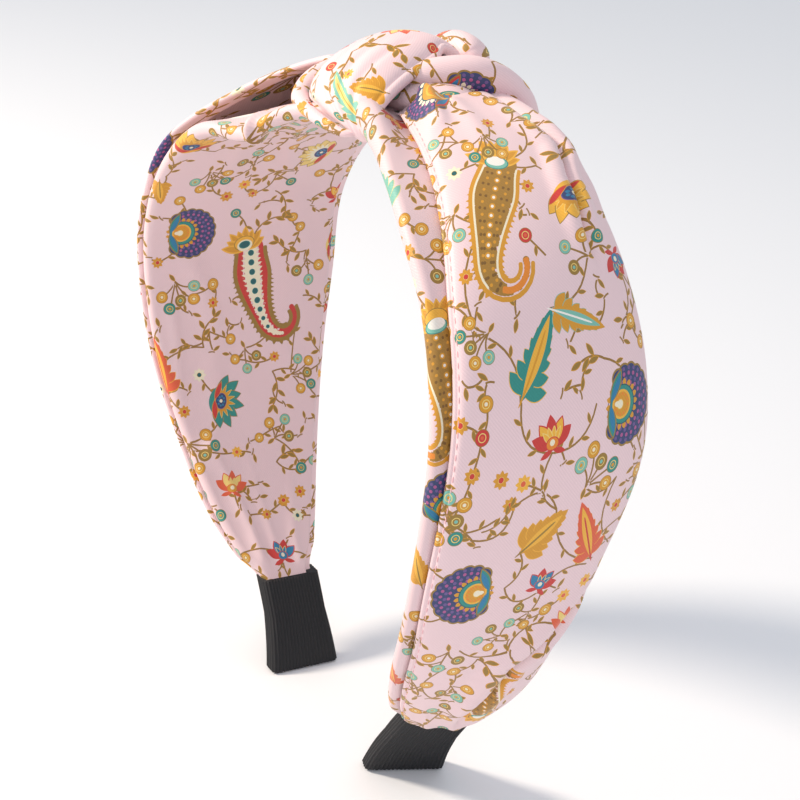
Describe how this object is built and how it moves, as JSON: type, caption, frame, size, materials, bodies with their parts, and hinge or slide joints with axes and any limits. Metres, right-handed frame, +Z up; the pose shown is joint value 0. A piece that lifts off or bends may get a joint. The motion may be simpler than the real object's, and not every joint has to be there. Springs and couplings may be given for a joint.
{
  "type": "knotted headband",
  "caption": "Wide cloth-wrapped headband: springy plastic hoop, two soft sewn covers, a folded knot on the crown and a ribbed cap on each tip.",
  "frame": {"origin": "on the surface that the tips stand on, in the middle of the band's width and depth", "axes": "+Z up from the tips to the crown, +X across the head towards the right-hand leg, -Y the front edge"},
  "size_m": [0.1453, 0.0567, 0.1612],
  "materials": {
    "hoop_plastic": "moulded polypropylene blade, hidden under the cloth",
    "wrap_cloth": "printed satin twill, pink ground, glued round the hoop",
    "cover_cloth": "printed satin twill, pale pink ground with a paisley and flower print",
    "sewing_thread": "polyester sewing thread, pink",
    "ribbed_cap": "black grosgrain, fine ribs"
  },
  "bodies": {
    "crown": {"hoop_core": "hoop_plastic", "hoop_wrap": "wrap_cloth", "knot_wrap": "cover_cloth", "knot_roll": "cover_cloth", "knot_back_fold": "cover_cloth"},
    "leg_left": {"cover_left": "cover_cloth", "seam_thread_left": "sewing_thread", "end_cap_left": "ribbed_cap"},
    "leg_right": {"cover_right": "cover_cloth", "seam_thread_right": "sewing_thread", "end_cap_right": "ribbed_cap"}
  },
  "joints": [
    {"name": "left_flex", "type": "hinge", "parent": "crown", "child": "leg_left", "pos_m": [-0.018, 0, 0.1445], "axis": [0, 1, 0], "range_deg": [-4, 14], "stiffness_Nm_per_rad": 1.6, "deforming": ["hoop_core", "hoop_wrap"]},
    {"name": "right_flex", "type": "hinge", "parent": "crown", "child": "leg_right", "pos_m": [0.018, 0, 0.1445], "axis": [0, -1, 0], "range_deg": [-4, 14], "stiffness_Nm_per_rad": 1.6}
  ]
}
